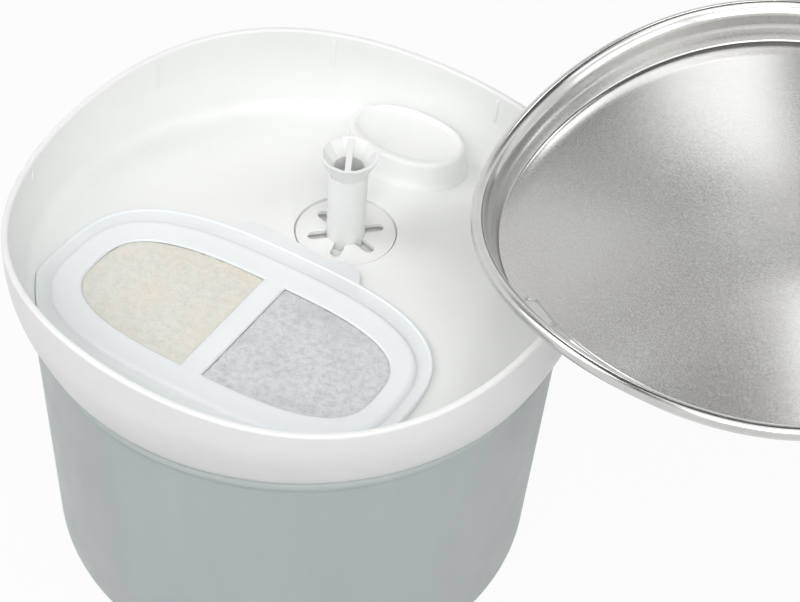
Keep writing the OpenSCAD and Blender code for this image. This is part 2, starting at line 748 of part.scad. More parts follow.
module stator_coil() color("#b87333") {
    fit = 0.2;
    coil_w = core_gap - 1.2;
    difference() {
        translate([-coil_w / 2, core_y - coil_t, core_z - 1])
            cube([coil_w, core_l + 2 * coil_t, yoke_h + 4]);
        translate([-core_gap, core_y - fit, core_z - fit])
            cube([2 * core_gap, core_l + 2 * fit, yoke_h + 2 * fit]);
    }
}

module suction_cups() color("LightGray") {
    for (x = [-1, 1], y = [motor_y + cup_front, back_y - cup_back]) translate([x * (pump_w / 2 - cup_in), y, 0])
        rotate_extrude() polygon([[0, tank_floor_z + 1.6], [cup_r - 2, tank_floor_z + 0.3],
            [cup_r, tank_floor_z], [cup_r, tank_floor_z + 0.5], [3, pump_z - 2.2], [3, pump_z - eps],
            [0, pump_z - eps]]);
}

// Sleeve over the pump's outlet with a shoulder and a spigot for the riser tube
module outlet_adaptor() color("Gainsboro") translate([0, tube_y, 0]) {
    sleeve_in_r = spout_r + push_gap;
    sleeve_r = sleeve_in_r + 1.8;
    shoulder_z = tube_end_z - seat_gap;
    spigot_top_z = tube_end_z + 12;
    rotate_extrude() polygon([[sleeve_in_r, spout_z - 8], [sleeve_r, spout_z - 8], [sleeve_r, shoulder_z],
        [tube_bore_r - push_gap, shoulder_z], [tube_bore_r - push_gap, spigot_top_z - 1],
        [tube_bore_r - push_gap - 0.6, spigot_top_z], [spout_bore_r, spigot_top_z],
        [spout_bore_r, spout_z + seat_gap], [sleeve_in_r, spout_z + seat_gap]]);
}

module cable_gland() color("#1d1f21") {
    z = pump_z + pump_h - 9;
    along_y(4, back_y + back_cap_t + 0.12, 2, 12, z);
    translate([12, back_y + back_cap_t + 2, z]) rotate([-90, 0, 0]) difference() {
        cylinder(r1 = 3.4, r2 = 2.6, h = 5);
        translate([0, 0, 2]) cylinder(r = 1.6, h = 6);
    }
}

tank();
basin();
steel_tray();
riser_tube();
grating_disc();
cassette_base();
cassette_lid();
fibre_pad();
carbon_pad();
pump_housing();
pump_back_cap();
pump_front_cover();
flow_slider();
impeller();
rotor_magnet();
rotor_shaft();
front_bush();
rear_bush();
stator_core();
stator_coil();
suction_cups();
outlet_adaptor();
cable_gland();
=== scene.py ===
"""Pet water fountain: a frosted tank under a white basin with a wavy rim, a riser tube,
a drain grating and a two-part filter cassette, with the steel drinking dish lifted off."""

import math

import bmesh
import bpy
from mathutils import Matrix, Vector


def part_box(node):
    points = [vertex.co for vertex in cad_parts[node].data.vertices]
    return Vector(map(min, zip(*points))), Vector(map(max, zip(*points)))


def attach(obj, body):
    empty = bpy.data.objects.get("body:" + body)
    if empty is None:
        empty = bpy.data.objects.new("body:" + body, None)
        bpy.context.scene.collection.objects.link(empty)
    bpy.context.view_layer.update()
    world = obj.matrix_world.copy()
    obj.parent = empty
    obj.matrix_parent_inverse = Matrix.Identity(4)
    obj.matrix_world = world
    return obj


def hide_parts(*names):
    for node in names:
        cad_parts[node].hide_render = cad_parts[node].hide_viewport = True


bl_info = {
    "name": "Pet Water Fountain",
    "version": (1, 0, 0),
    "blender": (4, 5, 0),
    "location": "View3D > Sidebar > Fountain",
    "description": "Builds the looks of a pet water fountain round its solid parts",
    "category": "Object",
}

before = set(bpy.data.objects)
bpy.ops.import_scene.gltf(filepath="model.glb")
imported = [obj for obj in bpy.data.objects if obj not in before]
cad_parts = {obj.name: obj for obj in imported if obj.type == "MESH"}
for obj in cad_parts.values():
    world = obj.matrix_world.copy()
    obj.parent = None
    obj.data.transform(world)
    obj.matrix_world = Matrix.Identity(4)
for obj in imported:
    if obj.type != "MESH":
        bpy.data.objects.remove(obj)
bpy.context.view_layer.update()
MM = 0.001

# Sizes and levels of the solid parts, in millimetres.
# The tank: radius of its lip and of the side under it, wall, rounded foot, draft and cable notch
TANK_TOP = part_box("tank")[1][2] / MM
TANK_RADIUS = 98.0
TANK_SIDE = 97.3
TANK_WALL = 2.4
TANK_FOOT = 20.0
DRAFT = math.tan(math.radians(2.4))
NOTCH_HALF = 4.0

# The basin: floor, flared wall, mean height of the rim over the tank, and the spigot inside the tank
FLOOR_RISE = 1.5
FLOOR_TOP = TANK_TOP + FLOOR_RISE
FLARE = 7.2
FLARE_HEIGHT = 26.0
BASIN_WALL = 2.6
RIM_RADIUS = TANK_RADIUS + FLARE
RIM_INNER = RIM_RADIUS - BASIN_WALL
RIM_MEAN = 35.7
SPIGOT_RADIUS = 94.6
SPIGOT_DEPTH = 9.0

# Waves of the rim: height, number round the rim, and the angle of a crest in degrees
RIM_WAVES = ((3.9, 1, 22), (1.45, 2, 44), (5.0, 3, 18))

# Ribs inside the rim: number, angle of the first in degrees, and half of a rib's width
RIB_COUNT = 9
RIB_START = 36
RIB_HALF = 0.6

# The oval boss at the back of the floor: half its length and width, its middle, and its lean
BOSS_HALF = (24.0, 15.5)
BOSS_PLACE = (-4.0, 82.0)
BOSS_TILT = 0.0105

# The drain round the riser tube, whose axis lies behind the basin's
TUBE_BACK = 31.7
DRAIN_SEAT = 125.0
SEAT_RADIUS = 19.5
CUP_RADIUS = 21.5
HOLLOW_RADIUS = 16.8
COLLAR_RADIUS = 8.7
BORE_RADIUS = 7.3
HOLE_RADIUS = 2.3
HOLE_COUNT = 6
HOLES_OUT = 12.4

# The filter cassette: foot of its well, its middle, half its length and width, and how far its edge
# lies left of its windows
WELL_FOOT = 116.5
CASSETTE_X = -4.1
CASSETTE_Y = -36.4
CASSETTE_HALF_LENGTH = 74.4
CASSETTE_HALF_WIDTH = 45.2
EDGE_SHIFT = 2.0

# The cassette's lid: levels, the circle it stays inside, its raised face, windows and hollowed tab
LID_FOOT = FLOOR_TOP + 0.2
LID_FACE = FLOOR_TOP + 3.6
LID_FLANGE = LID_FOOT + 1.6
LID_CLIP = 95.2
FACE_INSET = 5.2
FACE_INSET_Y = 7.8
FACE_SHIFT = 0.8
WINDOW_HALF = (60.4, 26.7)
TAB_HOLLOW = 19.8

# The dish: edge of its floor, where that edge starts to rise, its wall at the step, where its polished
# bead starts, and its mouth
DISH_FLOOR = 96.6
DISH_RISE = 91.5
DISH_WALL = 99.5
DISH_POLISHED = 101.3
MOUTH_RADIUS = 12.6

# Curved slot near the edge of the dish: radius, width, and its middle and span in degrees
SLOT_RADIUS = 94.7
SLOT_WIDTH = 4.9
SLOT_MIDDLE = -90
SLOT_SPAN = 51

# Place of the lifted dish: shift in millimetres, then tip, direction of the tip and turn in degrees
DISH_SHIFT = (157.6, 64.7, TANK_TOP + 36.8)
DISH_TIP = 8.7
DISH_TIP_TOWARDS = 28.0
DISH_TURN = -12.0

# The camera: place in millimetres, direction of view, and the direction of the picture's right
CAMERA_PLACE = (281.99, -450.91, 631.38)
CAMERA_AHEAD = (-0.33797, 0.63562, -0.69409)
CAMERA_RIGHT = (0.85499, 0.51562, 0.05587)
SENSOR_WIDTH = 36.0

# Points that the lamps are aimed at, in metres
OBJECT_MIDDLE = (0.05, 0.0, 0.13)
DISH_MIDDLE = (0.15, 0.06, 0.19)

# How much more blue than red and green the light from all round has
SKY_BLUE = 1.01

# Sockets of a Mix node that is set to colours
MIX_FIRST = 6
MIX_SECOND = 7
MIX_RESULT = 2


# ---- sizes and colours that a user would change ----


class DishSizes(bpy.types.PropertyGroup):
    """Sizes of the drinking dish"""

    depth: bpy.props.FloatProperty(
        name="Depth", description="From the top of the bead to the floor", default=0.0135,
        min=0.01, max=0.02, unit="LENGTH")
    hollow: bpy.props.FloatProperty(
        name="Hollow", description="How far the middle of the floor lies below its edge", default=0.0042,
        min=0.0, max=0.006, unit="LENGTH")
    bead: bpy.props.FloatProperty(
        name="Bead radius", description="Radius of the rolled bead", default=0.0023,
        min=0.0015, max=0.003, unit="LENGTH")
    sheet: bpy.props.FloatProperty(
        name="Sheet", description="Thickness of the steel sheet", default=0.0006,
        min=0.0004, max=0.001, unit="LENGTH")
    steps: bpy.props.IntProperty(
        name="Steps", description="Steps round the dish", default=216, min=72, max=360)


class BasinSizes(bpy.types.PropertyGroup):
    """Sizes of the basin and the tank under it"""

    rim_edge: bpy.props.FloatProperty(
        name="Rim edge", description="Radius of the wavy rim's rounded edges", default=0.001,
        min=0.0003, max=0.0012, unit="LENGTH")
    fillet: bpy.props.FloatProperty(
        name="Fillet", description="Fillet between the basin's floor and its wall", default=0.009,
        min=0.006, max=0.011, unit="LENGTH")
    lip_roll: bpy.props.FloatProperty(
        name="Lip roll", description="How far the tank's rolled lip stands out from its side", default=0.0007,
        min=0.0004, max=0.0015, unit="LENGTH")
    boss_height: bpy.props.FloatProperty(
        name="Boss height", description="Height of the oval boss above the basin's floor", default=0.0108,
        min=0.007, max=0.012, unit="LENGTH")
    steps: bpy.props.IntProperty(
        name="Steps", description="Steps round the basin and the tank", default=216, min=72, max=360)


class LidSizes(bpy.types.PropertyGroup):
    """Sizes of the filter cassette's lid"""

    bar: bpy.props.FloatProperty(
        name="Bar", description="Width of the bar between the windows", default=0.0076,
        min=0.005, max=0.01, unit="LENGTH")
    edge: bpy.props.FloatProperty(
        name="Edge", description="Radius of the moulded edges", default=0.00045,
        min=0.0001, max=0.0008, unit="LENGTH")


class FountainColours(bpy.types.PropertyGroup):
    """Colours of the fountain's finishes"""

    white: bpy.props.FloatVectorProperty(
        name="White plastic", description="Basin, tube and grating", subtype="COLOR",
        default=(0.88, 0.89, 0.875), min=0, max=1)
    frost: bpy.props.FloatVectorProperty(
        name="Frosted plastic", description="Tank", subtype="COLOR",
        default=(0.478, 0.53, 0.532), min=0, max=1)
    milk: bpy.props.FloatVectorProperty(
        name="Milky plastic", description="Filter cassette", subtype="COLOR",
        default=(0.85, 0.89, 0.905), min=0, max=1)
    steel: bpy.props.FloatVectorProperty(
        name="Steel", description="Drinking dish", subtype="COLOR",
        default=(0.595, 0.598, 0.58), min=0, max=1)


# ---- making meshes ----


def begin():
    """Leaves edit mode and deselects everything."""
    if bpy.context.object and bpy.context.object.mode != "OBJECT":
        bpy.ops.object.mode_set(mode="OBJECT")
    bpy.ops.object.select_all(action="DESELECT")


def wave(angle):
    """Height of the wavy rim above its mean, in millimetres, at an angle in radians."""
    return sum(tall * math.cos(count * (angle - math.radians(crest))) for tall, count, crest in RIM_WAVES)


def arc(x, z, radius, start, end, steps):
    """Points of an arc, angles in degrees."""
    turns = [math.radians(start + (end - start) * i / steps) for i in range(steps + 1)]
    return [(x + radius * math.cos(t), z + radius * math.sin(t)) for t in turns]


def circle(radius, x=0.0, y=0.0, steps=96):
    """Points of a circle."""
    turns = [2 * math.pi * i / steps for i in range(steps)]
    return [(x + radius * math.cos(t), y + radius * math.sin(t)) for t in turns]


def oval(half_x, half_y, steps, power):
    """Points of an oval round the origin; a higher power makes it squarer."""
    points = []
    for i in range(steps):
        t = 2 * math.pi * i / steps
        c, s = math.cos(t), math.sin(t)
        points.append((half_x * math.copysign(abs(c) ** (2 / power), c),
                       half_y * math.copysign(abs(s) ** (2 / power), s)))
    return points


def cassette_outline(inset, clip, inset_y=None, shift=0.0):
    """Outline of the cassette drawn in by an amount and kept inside a circle."""
    points = []
    inset_y = inset if inset_y is None else inset_y
    for x, y in oval(CASSETTE_HALF_LENGTH - inset, CASSETTE_HALF_WIDTH - inset_y, steps=240, power=2.9):
        px, py = x + CASSETTE_X - EDGE_SHIFT + shift, y + CASSETTE_Y
        far = math.hypot(px, py)
        if far > clip:
            px, py = px * clip / far, py * clip / far
        points.append((px, py))
    return points


def notch_outline(near, far):
    """The cable's notch at the back, from one distance behind the axis to another."""
    return [(-NOTCH_HALF, near), (NOTCH_HALF, near), (NOTCH_HALF, far), (-NOTCH_HALF, far)]


def grow_rings(name, rings):
    """A circle whose edge is extruded from ring to ring; each ring is a list of points."""
    begin()
    bpy.ops.mesh.primitive_circle_add(vertices=len(rings[0]), radius=1.0)
    piece = bpy.context.object
    piece.name = name
    bpy.ops.object.mode_set(mode="EDIT")
    mesh = bmesh.from_edit_mesh(piece.data)
    place = mesh.verts.layers.int.new("place")
    for i, vert in enumerate(mesh.verts):
        vert[place] = i
        vert.co = Vector(rings[0][i]) * MM
    bmesh.update_edit_mesh(piece.data)
    for ring in rings[1:]:
        bpy.ops.mesh.extrude_region_move()
        mesh = bmesh.from_edit_mesh(piece.data)
        place = mesh.verts.layers.int["place"]
        for vert in mesh.verts:
            if vert.select:
                vert.co = Vector(ring[vert[place]]) * MM
        bmesh.update_edit_mesh(piece.data)
    bpy.ops.mesh.select_all(action="SELECT")
    bpy.ops.mesh.fill_holes(sides=0)
    bpy.ops.mesh.normals_make_consistent(inside=False)
    bpy.ops.object.mode_set(mode="OBJECT")
    return piece


def revolve(name, section, steps, lift=None):
    """A section turned about the vertical axis; lift gives each point's extra height by angle."""
    turns = [2 * math.pi * i / steps for i in range(steps)]
    return grow_rings(name, [[(r * math.cos(a), r * math.sin(a), z + (lift(r, z, a) if lift else 0.0))
                              for a in turns] for r, z in section])


def slab(name, outline, low, high):
    """A flat outline, in millimetres, extruded from one level to another."""
    return grow_rings(name, [[(x, y, low) for x, y in outline], [(x, y, high) for x, y in outline]])


def drum(name, radius, low, high, x=0.0, y=0.0, steps=96):
    """A round slab."""
    return slab(name, circle(radius, x, y, steps), low, high)


def join(pieces):
    """Joins separate pieces into one tool."""
    begin()
    for piece in pieces:
        piece.select_set(True)
    bpy.context.view_layer.objects.active = pieces[0]
    bpy.ops.object.join()
    return pieces[0]


def combine(piece, tool, operation="DIFFERENCE"):
    """Cuts a tool out of a piece, or joins it on, and removes the tool."""
    begin()
    bpy.context.view_layer.objects.active = piece
    piece.select_set(True)
    change = piece.modifiers.new("combine", "BOOLEAN")
    change.operation = operation
    change.solver = "EXACT"
    change.object = tool
    bpy.ops.object.modifier_apply(modifier=change.name)
    bpy.data.objects.remove(tool)


def soften(piece, width, segments, angle):
    """Rounds the sharp edges and shades the rest smooth."""
    begin()
    bpy.context.view_layer.objects.active = piece
    piece.select_set(True)
    edge = piece.modifiers.new("edges", "BEVEL")
    edge.width = width
    edge.segments = segments
    edge.limit_method = "ANGLE"
    edge.angle_limit = math.radians(angle)
    bpy.ops.object.modifier_apply(modifier=edge.name)
    bpy.ops.object.shade_smooth_by_angle(angle=math.radians(angle))


def hand_over(piece, body, slot, *nodes):
    """Makes a piece ride on its body, in place of the nodes that it stands for."""
    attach(piece, body)
    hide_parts(*nodes)


# ---- finishes ----


class Finish:
    """A material and short ways to add the nodes that its finishes share."""

    def __init__(self, name, colour, roughness, metallic=0.0):
        self.material = bpy.data.materials.new(name)
        self.material.use_nodes = True
        self.material.diffuse_color = (*colour, 1.0)
        self.tree = self.material.node_tree
        self.shader = self.tree.nodes["Principled BSDF"]
        self.colour = colour
        self.set("Base Color", (*colour, 1.0))
        self.set("Roughness", roughness)
        self.set("Metallic", metallic)
        self.coords = self.add("ShaderNodeTexCoord").outputs["Object"]

    def set(self, socket, value):
        """Sets one of the shader's own sockets."""
        self.shader.inputs[socket].default_value = value

    def feed(self, socket, output):
        """Joins an output to one of the shader's own sockets."""
        self.link(output, self.shader.inputs[socket])

    def add(self, kind, **settings):
        """Adds a node with its settings."""
        node = self.tree.nodes.new(kind)
        for key, value in settings.items():
            setattr(node, key, value)
        return node

    def link(self, output, target):
        """Joins an output to an input."""
        self.tree.links.new(output, target)

    def stretch(self, scale, centre=(0, 0, 0), turn=(0, 0, 0)):
        """Object coordinates about a centre, turned and scaled."""
        node = self.add("ShaderNodeMapping", vector_type="TEXTURE")
        node.inputs["Location"].default_value = centre
        node.inputs["Rotation"].default_value = turn
        node.inputs["Scale"].default_value = scale
        self.link(self.coords, node.inputs["Vector"])
        return node.outputs["Vector"]

    def noise(self, scale, detail=3.0, vector=None, roughness=0.55):
        """A noise pattern's value."""
        node = self.add("ShaderNodeTexNoise")
        node.inputs["Scale"].default_value = scale
        node.inputs["Detail"].default_value = detail
        node.inputs["Roughness"].default_value = roughness
        self.link(vector if vector else self.coords, node.inputs["Vector"])
        return node.outputs["Fac"]

    def spread(self, value, low, high, start=0.3, end=0.7):
        """Maps a pattern's value from start..end to low..high."""
        node = self.add("ShaderNodeMapRange")
        node.inputs["From Min"].default_value = start
        node.inputs["From Max"].default_value = end
        node.inputs["To Min"].default_value = low
        node.inputs["To Max"].default_value = high
        self.link(value, node.inputs["Value"])
        return node.outputs["Result"]

    def blend(self, factor, first, second):
        """A colour between two colours or outputs."""
        node = self.add("ShaderNodeMix", data_type="RGBA")
        self.link(factor, node.inputs["Factor"])
        for value, socket in ((first, node.inputs[MIX_FIRST]), (second, node.inputs[MIX_SECOND])):
            if isinstance(value, bpy.types.NodeSocket):
                self.link(value, socket)
            else:
                socket.default_value = (*value, 1.0)
        return node.outputs[MIX_RESULT]

    def multiply(self, first, second):
        """One colour times another, both outputs."""
        node = self.add("ShaderNodeMix", data_type="RGBA", blend_type="MULTIPLY")
        node.inputs["Factor"].default_value = 1.0
        self.link(first, node.inputs[MIX_FIRST])
        self.link(second, node.inputs[MIX_SECOND])
        return node.outputs[MIX_RESULT]

    def shade(self, amount):
        """The finish's colour, darker or lighter by an amount."""
        return tuple(min(1.0, c * amount) for c in self.colour)

    def bump(self, height, strength, distance, before=None):
        """Adds a bump from a height pattern."""
        node = self.add("ShaderNodeBump")
        node.inputs["Strength"].default_value = strength
        node.inputs["Distance"].default_value = distance
        self.link(height, node.inputs["Height"])
        if before:
            self.link(before, node.inputs["Normal"])
        self.feed("Normal", node.outputs["Normal"])
        return node.outputs["Normal"]

    def mottle(self, scale, dark, light):
        """Varies the colour softly over the surface."""
        tone = self.spread(self.noise(scale), 0.0, 1.0)
        self.feed("Base Color", self.blend(tone, self.shade(dark), self.shade(light)))

    def rub(self, scale, low, high):
        """Varies the roughness over the surface."""
        self.feed("Roughness", self.spread(self.noise(scale, detail=4.0), low, high))

    def stripe(self, scale, dark, light, strength, distance):
        """Stripes across the Y axis, in colour and in height."""
        stripes = self.add("ShaderNodeTexWave", bands_direction="Y")
        stripes.inputs["Scale"].default_value = scale
        self.link(self.coords, stripes.inputs["Vector"])
        self.feed("Base Color", self.blend(stripes.outputs["Fac"], self.shade(dark), self.shade(light)))
        self.bump(stripes.outputs["Fac"], strength, distance)

    def let_light_in(self, weight, radius, scale):
        """Carries light under the surface, as milky and frosted plastic do."""
        self.set("Subsurface Weight", weight)
        self.set("Subsurface Radius", radius)
        self.set("Subsurface Scale", scale)


def moulded(name, colour, roughness, grain=0.02, glow=0.0, dark=0.985, light=1.01):
    """Moulded plastic: a fine grain, faint clouding and patches where it is more worn."""
    finish = Finish(name, colour, roughness)
    finish.mottle(38.0, dark, light)
    finish.rub(55.0, roughness * 0.85, min(1.0, roughness * 1.2))
    finish.bump(finish.noise(2600.0, detail=2.0), strength=grain, distance=0.0002)
    if glow:
        finish.let_light_in(glow, (1.0, 1.0, 1.0), 0.004)
    return finish.material


def frosted(name, colour):
    """Frosted plastic of the tank: faint clouds, a soft sheen and light carried inside it."""
    finish = Finish(name, colour, roughness=0.42)
    cloud = finish.spread(finish.noise(26.0, vector=finish.stretch((1.0, 1.0, 6.0))), 0.0, 1.0)
    finish.feed("Base Color", finish.blend(cloud, finish.shade(0.95), finish.shade(1.05)))
    finish.rub(70.0, 0.36, 0.48)
    finish.bump(finish.noise(1900.0), strength=0.06, distance=0.0003)
    finish.let_light_in(0.35, (0.8, 0.95, 1.0), 0.01)
    return finish.material


def dish_centre():
    """Place and turn of the lifted dish, for patterns that follow it."""
    where = dish_place()
    return tuple(where.to_translation()), tuple(where.to_euler())


def satin_steel(name, colour):
    """Satin sheet of the dish: a fine even grain with faint warm patches."""
    finish = Finish(name, colour, roughness=0.22, metallic=1.0)
    warm = (colour[0] * 0.98, colour[1] * 0.955, colour[2] * 0.935)
    grain = finish.noise(1700.0, detail=2.0)
    patch = finish.spread(finish.noise(14.0, detail=4.0), 0.0, 1.0, start=0.42, end=0.66)
    base = finish.blend(patch, finish.shade(1.02), warm)
    fine = finish.spread(grain, 0.0, 1.0, start=0.35, end=0.65)
    speckle = finish.blend(fine, (0.86, 0.86, 0.865), (1.0, 1.0, 1.0))
    finish.feed("Base Color", finish.multiply(base, speckle))
    finish.feed("Roughness", finish.spread(grain, 0.18, 0.24))
    finish.bump(grain, strength=0.04, distance=0.0001)
    return finish.material


def bright_steel(name, colour):
    """Polished steel of the dish's bead, with the faint lines that forming leaves."""
    finish = Finish(name, colour, roughness=0.17, metallic=1.0)
    centre, turn = dish_centre()
    lines = finish.noise(900.0, detail=2.0, vector=finish.stretch((30.0, 30.0, 1.0), centre, turn))
    finish.feed("Roughness", finish.spread(lines, 0.12, 0.24))
    finish.mottle(60.0, 0.94, 1.08)
    finish.bump(lines, strength=0.05, distance=0.0001)
    return finish.material


def fleece(name, colour, fleck, fleck_share, strand_dark):
    """Needled filter fleece: matted fibres with darker strands and coloured flecks."""
    finish = Finish(name, colour, roughness=0.92)
    fibres = finish.noise(1400.0, detail=6.0, roughness=0.8)
    mats = finish.noise(420.0, detail=6.0, roughness=0.8)
    tone = finish.spread(mats, 0.0, 1.0, start=0.34, end=0.56)
    base = finish.blend(tone, finish.shade(strand_dark), finish.shade(1.04))
    strands = finish.spread(fibres, 0.0, 1.0, start=0.38, end=0.62)
    woven = finish.multiply(base, finish.blend(strands, (0.9, 0.9, 0.9), (1.0, 1.0, 1.0)))
    spots = finish.noise(45.0, detail=6.0, roughness=0.7)
    spots = finish.spread(spots, 0.0, fleck_share, start=0.45, end=0.75)
    finish.feed("Base Color", finish.blend(spots, woven, fleck))
    first = finish.bump(mats, strength=0.5, distance=0.0008)
    finish.bump(fibres, strength=0.6, distance=0.0004, before=first)
    finish.set("Sheen Weight", 0.25)
    finish.set("Sheen Roughness", 0.6)
    return finish.material


def rubber(name, colour):
    """Soft matt rubber."""
    finish = Finish(name, colour, roughness=0.6)
    finish.mottle(90.0, 0.92, 1.06)
    finish.rub(140.0, 0.5, 0.7)
    finish.bump(finish.noise(1800.0), strength=0.12, distance=0.0002)
    return finish.material


def wound_copper(name, colour):
    """Enamelled wire laid in turns."""
    finish = Finish(name, colour, roughness=0.3, metallic=0.9)
    finish.stripe(500.0, 0.55, 1.1, strength=0.5, distance=0.0003)
    return finish.material


def laminated(name, colour):
    """Stacked core sheets with a dark line between them."""
    finish = Finish(name, colour, roughness=0.45, metallic=0.85)
    finish.stripe(320.0, 0.5, 1.1, strength=0.3, distance=0.0002)
    return finish.material


def paint(node_name, material):
    """Gives a solid part its finish."""
    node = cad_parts[node_name]
    if not node.material_slots:
        node.data.materials.append(material)
    for slot in node.material_slots:
        slot.material = material


# ---- the drinking dish ----


def dish_place():
    """Matrix that lifts the seated dish to where it is held."""
    def about_z(degrees):
        return Matrix.Rotation(math.radians(degrees), 4, "Z")
    shift = Matrix.Translation(Vector(DISH_SHIFT) * MM)
    tip = Matrix.Rotation(math.radians(-DISH_TIP), 4, "Y")
    return shift @ about_z(DISH_TIP_TOWARDS) @ tip @ about_z(DISH_TURN - DISH_TIP_TOWARDS)


def dish_section(depth, bead, sheet, hollow):
    """Section of the dish in millimetres, from the middle of its floor out and back below."""
    floor = RIM_MEAN + 2 * bead - depth
    top = RIM_MEAN + bead
    step = floor + 0.45 * (top - floor)
    wall = DISH_WALL
    edge_drop, bowl_power, edge_power = 0.4, 1.8, 2
    steep, steep_share = 90, 1.1

    def height(r):
        bowl = hollow * (1 - (r / DISH_FLOOR) ** bowl_power)
        rise = max(0.0, r - DISH_RISE) / (DISH_FLOOR - DISH_RISE)
        return floor - bowl - edge_drop * (1 - rise ** edge_power)
    rings = [2, 8, 16, 24, 32, 40, 47, 54, 60, 66, 71, 76, 80, 84, 86, 88, 90, 91.5, 93, 94.3, 95.5, 96.4]
    inside = [(r, height(r)) for r in rings] + arc(wall - 2.6, floor + 1.0, 1.1, -64, -22, 4)
    inside += [(wall - 1.2, floor + 1.5), (wall - 0.75, floor + 2.6), (wall - 0.25, step - 0.5),
               (wall, step), (wall + 0.25, step + 0.45), (wall + 0.6, step + 1.5), (wall + 1.0, top - 2.6),
               (wall + 1.3, top - 1.6), (wall + 1.7, top - 0.8), (wall + 2.3, top - 0.1)]
    rolled = arc(RIM_RADIUS - 0.8, top, bead, 160, -85, 18)
    outside = [(wall + 3.9, top - bead + 0.05), (wall + 2.9, top - bead), (wall + 2.25, top - bead - 0.4),
               (wall + 1.9, top - bead - 1.1), (wall + 1.45, step + 1.2), (wall + 1.05, step + 0.2),
               (wall + 0.7, step - 0.6), (wall + 0.1, floor + 2.0), (wall - 0.4, floor + 0.9),
               (wall - 1.0, floor + 0.1), (wall - 1.9, floor - 0.4)]
    under = [(r, height(r) - sheet * (steep_share if r > steep else 1.0)) for r in reversed(rings)]
    return inside + rolled + outside + under, floor, top


def wave_share(radius, height, floor, top):
    """How much of the rim's wave the dish follows at a point of its section."""
    flat, edge, share, power = 20, 97, 0.8, 1.4
    if radius < edge:
        return share * max(0.0, (radius - flat) / (edge - flat)) ** power
    return min(1.0, share + (1 - share) * max(0.0, (height - floor) / (top - floor)))


def slot_outline():
    """Outline of the dish's curved slot with its round ends."""
    half, start, end = SLOT_WIDTH / 2, SLOT_MIDDLE - SLOT_SPAN / 2, SLOT_MIDDLE + SLOT_SPAN / 2
    points = []
    for radius, first, last, facing in ((SLOT_RADIUS + half, start, end, end),
                                        (SLOT_RADIUS - half, end, start, start + 180)):
        points += arc(0.0, 0.0, radius, first, last, 24)
        x, y = SLOT_RADIUS * math.cos(math.radians(last)), SLOT_RADIUS * math.sin(math.radians(last))
        points += arc(x, y, half, facing, facing + 180, 8)[1:-1]
    return points


class FOUNTAIN_OT_dish(bpy.types.Operator):
    """Forms the steel drinking dish with its rolled wavy bead, and lifts it"""

    bl_idname = "fountain.dish"
    bl_label = "Drinking Dish"

    def execute(self, context):
        sizes = context.scene.fountain_dish
        section, floor, top = dish_section(sizes.depth / MM, sizes.bead / MM, sizes.sheet / MM,
                                           sizes.hollow / MM)
        dish = revolve("drinking_dish", section, sizes.steps,
                       lambda r, z, a: wave_share(r, z, floor, top) * wave(a))
        low, high = floor - 16, floor + 12
        combine(dish, drum("mouth_tool", MOUTH_RADIUS, low, high, 0.0, TUBE_BACK))
        combine(dish, slab("slot_tool", slot_outline(), low, high))
        soften(dish, width=0.00018, segments=2, angle=55)
        colour = context.scene.fountain_colours.steel
        dish.data.materials.append(satin_steel("satin steel", colour))
        dish.data.materials.append(bright_steel("bright steel", colour))
        for face in dish.data.polygons:
            far = math.hypot(face.center.x, face.center.y) / MM
            face.material_index = 1 if far > DISH_POLISHED else 0
        dish.data.transform(dish_place())
        hand_over(dish, "tray_body", "stainless_steel", "steel_tray")
        return {"FINISHED"}


# ---- the filter cassette ----


def tab_outline():
    """Outline of the pull tab at the back of the lid, hollowed where the grating is."""
    half, out, corner, slope = 29.5, 5.4, 5.0, 3.0
    x, y = CASSETTE_X - EDGE_SHIFT - 1, CASSETTE_Y + CASSETTE_HALF_WIDTH
    root, neck = y - 9, y - 4
    corner_y = y + out - corner
    reach = math.sqrt(TAB_HOLLOW ** 2 - (TUBE_BACK - y - out) ** 2)
    across = [reach * (1 - k / 6) for k in range(13)]
    points = [(x - half, root), (x + half, root), (x + half, neck)]
    points += arc(x + half - slope - corner, corner_y, corner, 20, 90, 7)
    points += [(px, TUBE_BACK - math.sqrt(TAB_HOLLOW ** 2 - px ** 2)) for px in across]
    points += arc(x - half + slope + corner, corner_y, corner, 90, 160, 7)
    return points + [(x - half, neck)]


